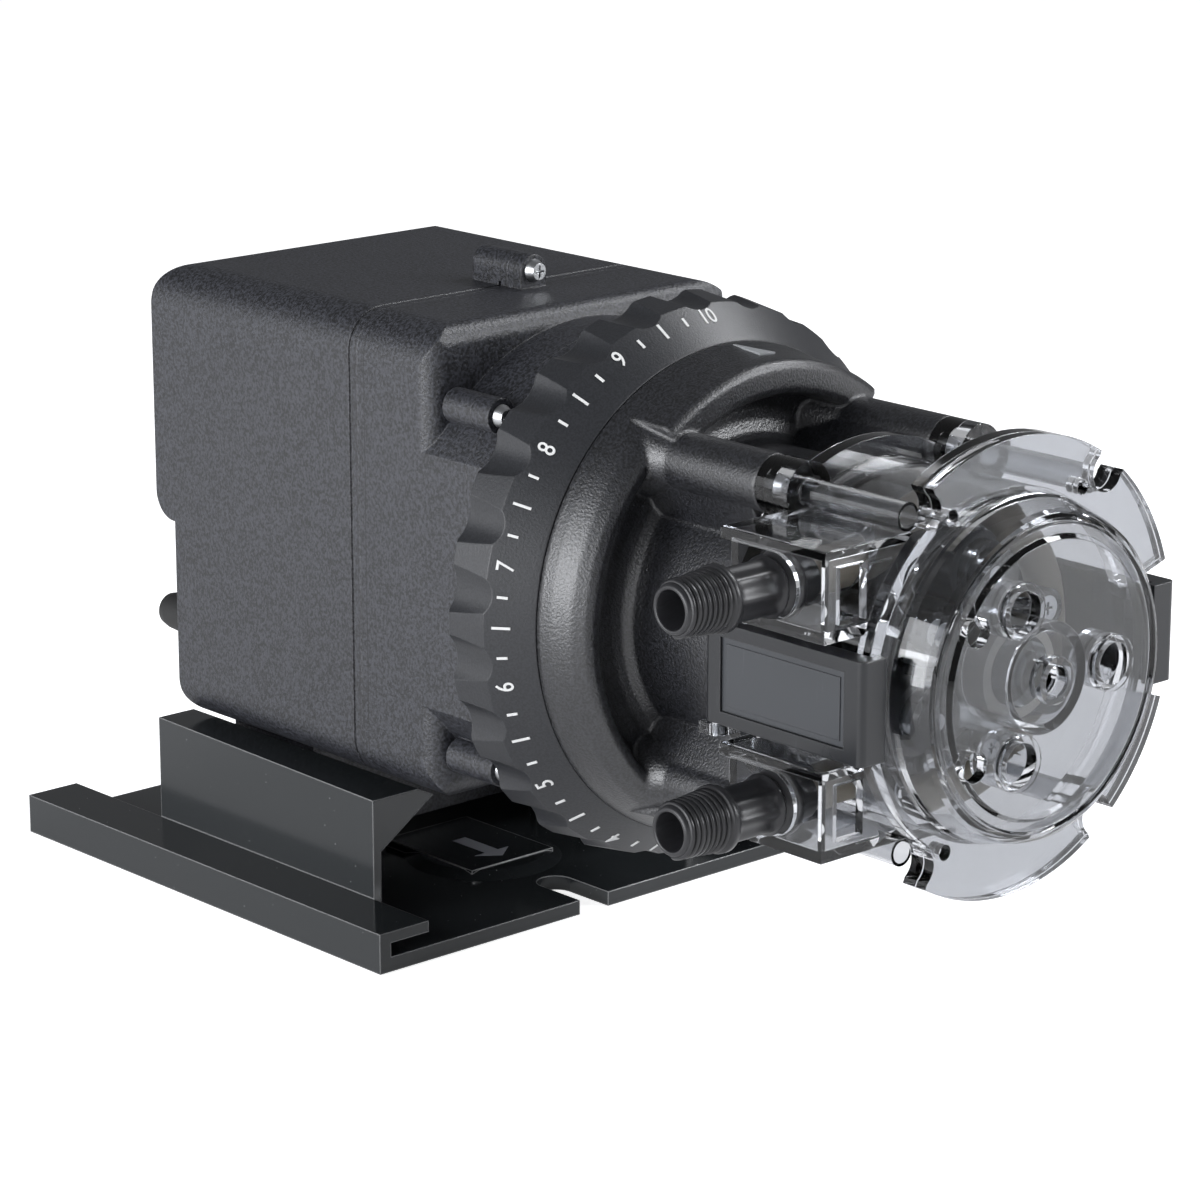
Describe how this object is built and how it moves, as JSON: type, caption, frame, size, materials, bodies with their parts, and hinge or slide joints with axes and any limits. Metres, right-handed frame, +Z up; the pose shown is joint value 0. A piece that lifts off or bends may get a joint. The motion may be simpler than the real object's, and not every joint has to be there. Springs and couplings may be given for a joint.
{
  "type": "peristaltic metering pump",
  "caption": "Fixed-rate peristaltic metering pump: black motor and gear case, scalloped rate dial, clear pump head with side fittings and latches, on a slide-on rail bracket.",
  "frame": {"origin": "centre of the mounting bracket's underside, on the surface it stands on", "axes": "+Z up; -Y the way the pump head faces; +X to the right seen from the front"},
  "size_m": [0.1505, 0.293, 0.1602],
  "materials": {
    "black_bracket": "moulded black, glossy, lightly scratched",
    "black_housing": "charcoal black, fine satin texture",
    "black_fitting": "black, smooth",
    "black_latch": "black satin, moulded",
    "clear": "clear smoke-grey polycarbonate",
    "smoke": "smoky translucent polycarbonate",
    "steel": "bright plated steel",
    "lamination": "stacked electrical steel",
    "copper": "enamelled winding wire, taped",
    "gear_plastic": "natural acetal",
    "plate_metal": "pressed sheet",
    "rubber_black": "moulded black rubber",
    "roller_grey": "dark grey, smooth",
    "tube_rubber": "translucent tan elastomer",
    "bush_white": "off-white bearing plastic",
    "fan_grey": "dark grey"
  },
  "bodies": {
    "bracket": {"mounting_bracket": "black_bracket"},
    "pump": {"rear_housing": "black_housing", "slide_foot": "black_housing", "foot_screws": "steel", "case_screw": "steel", "cord_gland": "rubber_black", "gear_plate": "plate_metal", "plate_screws": "steel", "motor_stator": "lamination", "motor_coil": "copper", "motor_bridges": "plate_metal", "motor_bolts": "steel", "idler_post": "steel", "shaft_bearings": "bush_white", "gear_case": "black_housing", "index_case": "black_housing", "lug_screws": "steel", "outer_housing": "black_housing", "hub_screws": "steel", "shaft_seal": "rubber_black", "tube_housing": "clear", "tube_screws": "steel", "pump_tube": "tube_rubber", "tube_ferrules": "black_fitting", "suction_fitting": "black_fitting", "discharge_fitting": "black_fitting", "cover": "clear", "cover_bush": "bush_white", "latch_pins": "steel"},
    "dial": {"dial_ring": "black_housing", "variable_cam": "gear_plastic"},
    "shaft": {"main_shaft": "steel", "main_gear": "gear_plastic", "rear_roller_plate": "smoke", "front_roller_plate": "smoke", "roller_pins": "steel", "roller_screws": "steel"},
    "idler": {"idler_gear": "gear_plastic"},
    "rotor": {"motor_rotor": "lamination", "rotor_shaft": "steel", "motor_fan": "fan_grey"},
    "roller_1": {"roller_1": "roller_grey"},
    "roller_2": {"roller_2": "roller_grey"},
    "roller_3": {"roller_3": "roller_grey"},
    "latch_left": {"left_latch": "black_latch"},
    "latch_right": {"right_latch": "black_latch"}
  },
  "joints": [
    {"name": "pump_slide", "type": "slide", "parent": "bracket", "child": "pump", "axis": [0, 1, 0], "range_m": [0, 0.038]},
    {"name": "dial_turn", "type": "hinge", "parent": "pump", "child": "dial", "pos_m": [0, -0.117, 0.0915], "axis": [0, 1, 0], "range_deg": [0, 229.5]},
    {"name": "rotor_turn", "type": "hinge", "parent": "pump", "child": "rotor", "pos_m": [0.00534, -0.017, 0.10787], "axis": [0, 1, 0], "continuous": true},
    {"name": "idler_turn", "type": "hinge", "parent": "pump", "child": "idler", "pos_m": [-0.01721, -0.047, 0.11607], "axis": [0, 1, 0], "continuous": true},
    {"name": "shaft_turn", "type": "hinge", "parent": "pump", "child": "shaft", "pos_m": [0, -0.117, 0.0915], "axis": [0, 1, 0], "continuous": true},
    {"name": "roller_1_turn", "type": "hinge", "parent": "shaft", "child": "roller_1", "pos_m": [0, -0.187, 0.1115], "axis": [0, 1, 0], "continuous": true},
    {"name": "roller_2_turn", "type": "hinge", "parent": "shaft", "child": "roller_2", "pos_m": [-0.01732, -0.187, 0.0815], "axis": [0, 1, 0], "continuous": true},
    {"name": "roller_3_turn", "type": "hinge", "parent": "shaft", "child": "roller_3", "pos_m": [0.01732, -0.187, 0.0815], "axis": [0, 1, 0], "continuous": true},
    {"name": "left_latch_turn", "type": "hinge", "parent": "pump", "child": "latch_left", "pos_m": [-0.0475, -0.1652, 0.0915], "axis": [0, 0, -1], "range_deg": [0, 60]},
    {"name": "right_latch_turn", "type": "hinge", "parent": "pump", "child": "latch_right", "pos_m": [0.0475, -0.1652, 0.0915], "axis": [0, 0, 1], "range_deg": [0, 60]}
  ],
  "couplings": [
    {"joint": "idler_turn", "follows": "rotor_turn", "ratio": -0.25},
    {"joint": "shaft_turn", "follows": "rotor_turn", "ratio": 0.0625},
    {"joint": "roller_1_turn", "follows": "rotor_turn", "ratio": -0.2131},
    {"joint": "roller_2_turn", "follows": "rotor_turn", "ratio": -0.2131},
    {"joint": "roller_3_turn", "follows": "rotor_turn", "ratio": -0.2131}
  ]
}
